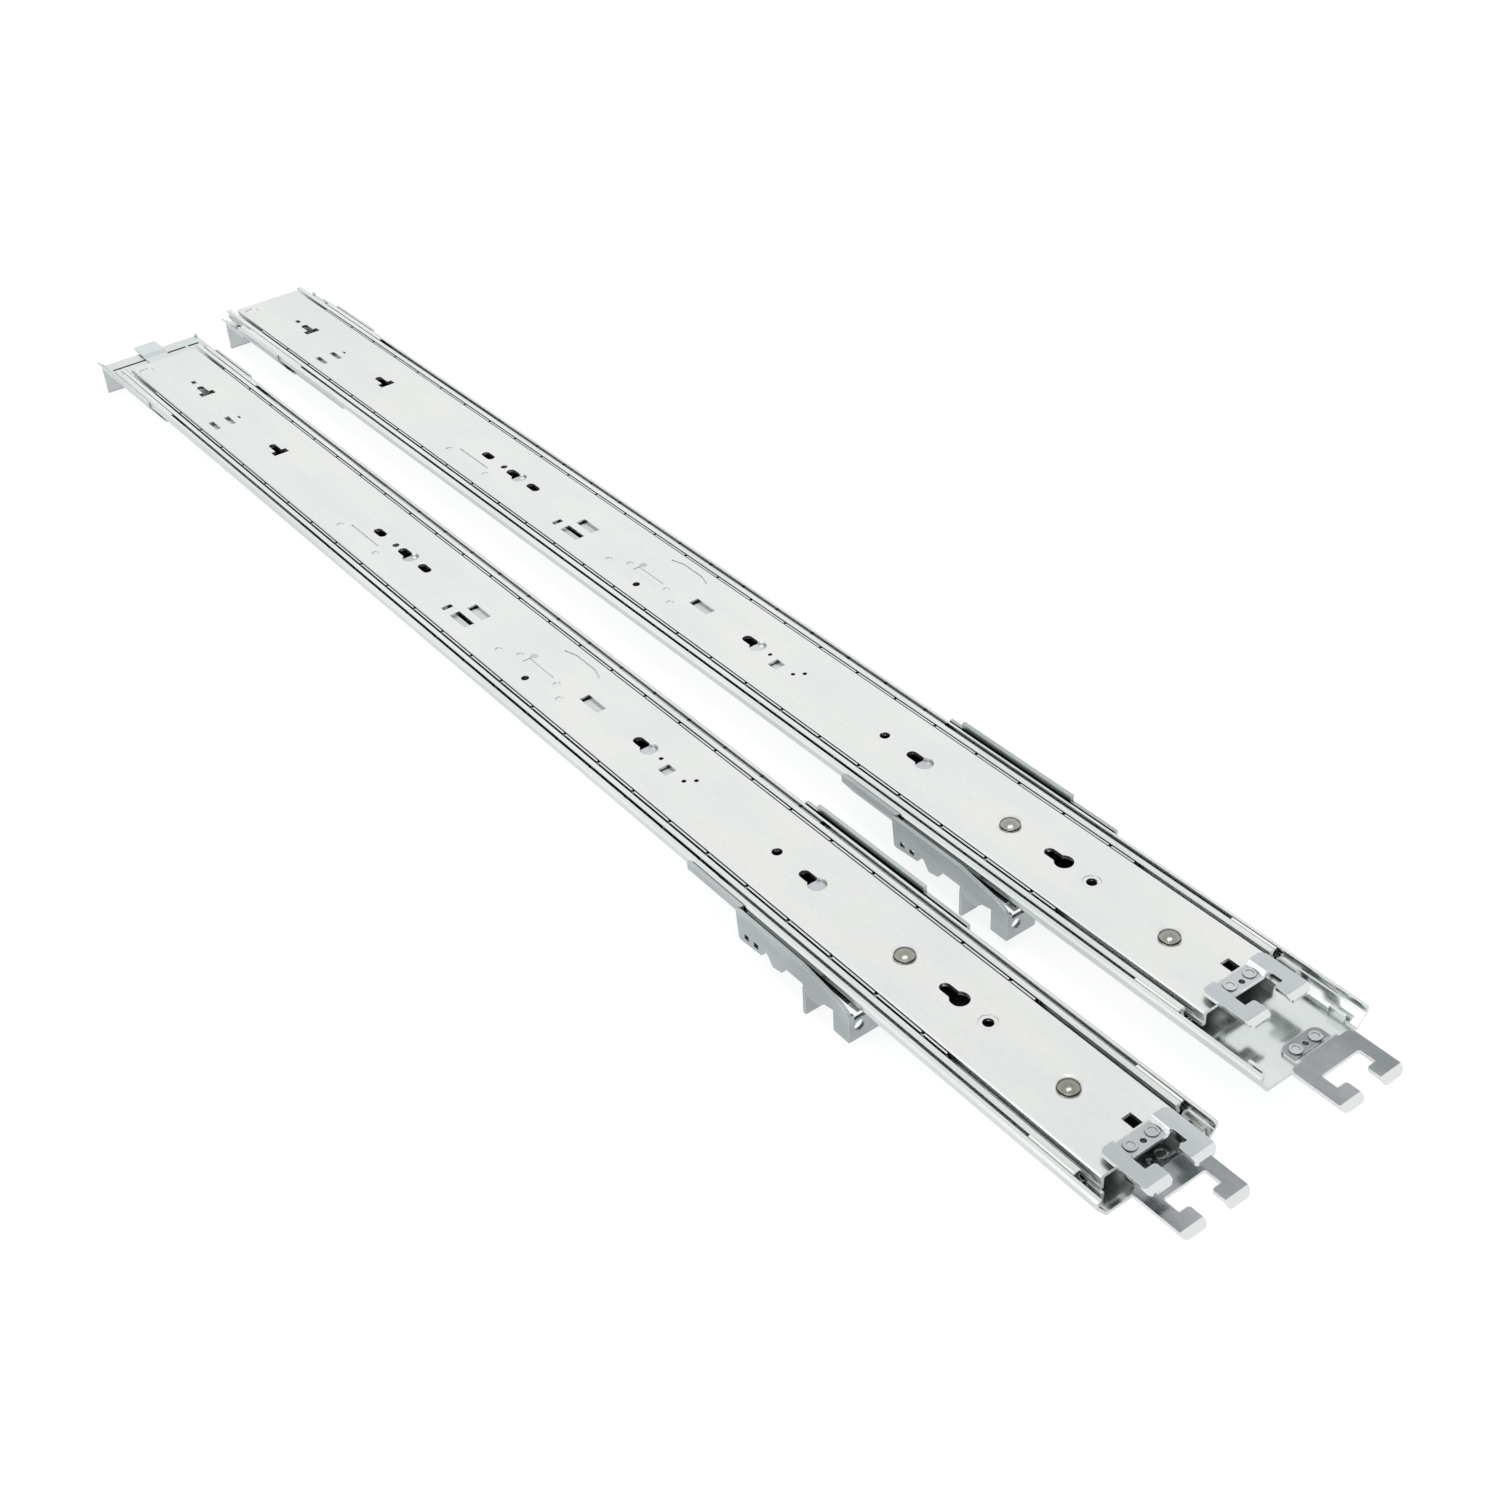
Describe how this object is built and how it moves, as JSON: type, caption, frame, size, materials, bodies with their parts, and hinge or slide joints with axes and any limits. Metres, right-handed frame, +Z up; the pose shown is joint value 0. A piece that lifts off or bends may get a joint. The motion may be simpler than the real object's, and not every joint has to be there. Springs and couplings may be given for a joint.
{
  "type": "server slide rail pair",
  "caption": "Pair of telescoping ball-bearing server slides with rack brackets, keyhole chassis members and cable-arm forks at the rear.",
  "frame": {"origin": "centre of the pair's bounding box in plan, at its lowest level", "axes": "+X towards the rear of the rack along the rails, +Y across from rail 1 to rail 2, +Z up from the rack side of each rail to its server side"},
  "size_m": [0.7608, 0.1316, 0.0271],
  "materials": {
    "zinc_rail": "bright zinc plate",
    "zinc_slide": "bright zinc plate",
    "zinc_web": "pale zinc plate, satin",
    "zinc_bracket": "bluish zinc plate",
    "fork_steel": "bluish zinc plate with bright edges",
    "rivet_steel": "plain steel, satin",
    "cage_steel": "thin plated strip",
    "ball_steel": "polished bearing steel",
    "stud_nickel": "nickel plate",
    "spring_steel": "dark spring steel",
    "white_plastic": "off-white plastic"
  },
  "bodies": {
    "rack_side": {"rail_1_outer_member": "zinc_rail", "rail_1_front_bracket": "zinc_bracket", "rail_1_front_bracket_rivets": "rivet_steel", "rail_1_front_bumpers": "white_plastic", "rail_1_outer_fork": "fork_steel", "rail_1_outer_fork_rivets": "rivet_steel", "rail_2_outer_member": "zinc_rail", "rail_2_front_bracket": "zinc_bracket", "rail_2_front_bracket_rivets": "rivet_steel", "rail_2_front_bumpers": "white_plastic", "rail_2_outer_fork": "fork_steel", "rail_2_outer_fork_rivets": "rivet_steel"},
    "rail_1_rear_bracket": {"rail_1_rear_carriage": "zinc_bracket", "rail_1_rear_hook_bracket": "zinc_bracket"},
    "rail_1_middle": {"rail_1_middle_member": "zinc_slide", "rail_1_rear_bumpers": "white_plastic"},
    "rail_1_outer_cage": {"rail_1_outer_ball_cages": "cage_steel", "rail_1_outer_balls": "ball_steel"},
    "rail_1_inner_cage": {"rail_1_inner_ball_cages": "cage_steel", "rail_1_inner_balls": "ball_steel"},
    "rail_1_inner": {"rail_1_inner_member": "zinc_web", "rail_1_inner_fork": "fork_steel", "rail_1_inner_fork_rivets": "rivet_steel", "rail_1_domed_studs": "stud_nickel", "rail_1_spring_clips": "spring_steel", "rail_1_lever_pivot": "rivet_steel"},
    "rail_1_lever": {"rail_1_release_lever": "spring_steel"},
    "rail_2_rear_bracket": {"rail_2_rear_carriage": "zinc_bracket", "rail_2_rear_hook_bracket": "zinc_bracket"},
    "rail_2_middle": {"rail_2_middle_member": "zinc_slide", "rail_2_rear_bumpers": "white_plastic"},
    "rail_2_outer_cage": {"rail_2_outer_ball_cages": "cage_steel", "rail_2_outer_balls": "ball_steel"},
    "rail_2_inner_cage": {"rail_2_inner_ball_cages": "cage_steel", "rail_2_inner_balls": "ball_steel"},
    "rail_2_inner": {"rail_2_inner_member": "zinc_web", "rail_2_inner_fork": "fork_steel", "rail_2_inner_fork_rivets": "rivet_steel", "rail_2_domed_studs": "stud_nickel", "rail_2_spring_clips": "spring_steel", "rail_2_lever_pivot": "rivet_steel"},
    "rail_2_lever": {"rail_2_release_lever": "spring_steel"}
  },
  "joints": [
    {"name": "rail_1_middle_slide", "type": "slide", "parent": "rack_side", "child": "rail_1_middle", "axis": [-1, 0, 0], "range_m": [0, 0.355]},
    {"name": "rail_1_outer_cage_roll", "type": "slide", "parent": "rack_side", "child": "rail_1_outer_cage", "axis": [-1, 0, 0], "range_m": [0, 0.1775]},
    {"name": "rail_1_inner_slide", "type": "slide", "parent": "rail_1_middle", "child": "rail_1_inner", "axis": [-1, 0, 0], "range_m": [0, 0.345]},
    {"name": "rail_1_inner_cage_roll", "type": "slide", "parent": "rail_1_middle", "child": "rail_1_inner_cage", "axis": [-1, 0, 0], "range_m": [0, 0.0345]},
    {"name": "rail_1_depth_adjust", "type": "slide", "parent": "rack_side", "child": "rail_1_rear_bracket", "axis": [1, 0, 0], "range_m": [-0.15, 0.08]},
    {"name": "rail_1_release_lever_pivot", "type": "hinge", "parent": "rail_1_inner", "child": "rail_1_lever", "pos_m": [0.0164, -0.03745, 0.021], "axis": [0, 0, 1], "range_deg": [0, 4]},
    {"name": "rail_2_middle_slide", "type": "slide", "parent": "rack_side", "child": "rail_2_middle", "axis": [-1, 0, 0], "range_m": [-0.024, 0.331]},
    {"name": "rail_2_outer_cage_roll", "type": "slide", "parent": "rack_side", "child": "rail_2_outer_cage", "axis": [-1, 0, 0], "range_m": [-0.012, 0.1655]},
    {"name": "rail_2_inner_slide", "type": "slide", "parent": "rail_2_middle", "child": "rail_2_inner", "axis": [-1, 0, 0], "range_m": [0, 0.345]},
    {"name": "rail_2_inner_cage_roll", "type": "slide", "parent": "rail_2_middle", "child": "rail_2_inner_cage", "axis": [-1, 0, 0], "range_m": [0, 0.0345]},
    {"name": "rail_2_depth_adjust", "type": "slide", "parent": "rack_side", "child": "rail_2_rear_bracket", "axis": [1, 0, 0], "range_m": [-0.15, 0.08]},
    {"name": "rail_2_release_lever_pivot", "type": "hinge", "parent": "rail_2_inner", "child": "rail_2_lever", "pos_m": [-0.0109, 0.03465, 0.021], "axis": [0, 0, 1], "range_deg": [0, 4]}
  ],
  "couplings": [
    {"joint": "rail_1_outer_cage_roll", "follows": "rail_1_middle_slide", "ratio": 0.5},
    {"joint": "rail_1_inner_cage_roll", "follows": "rail_1_inner_slide", "ratio": 0.1},
    {"joint": "rail_2_outer_cage_roll", "follows": "rail_2_middle_slide", "ratio": 0.5},
    {"joint": "rail_2_inner_cage_roll", "follows": "rail_2_inner_slide", "ratio": 0.1}
  ]
}
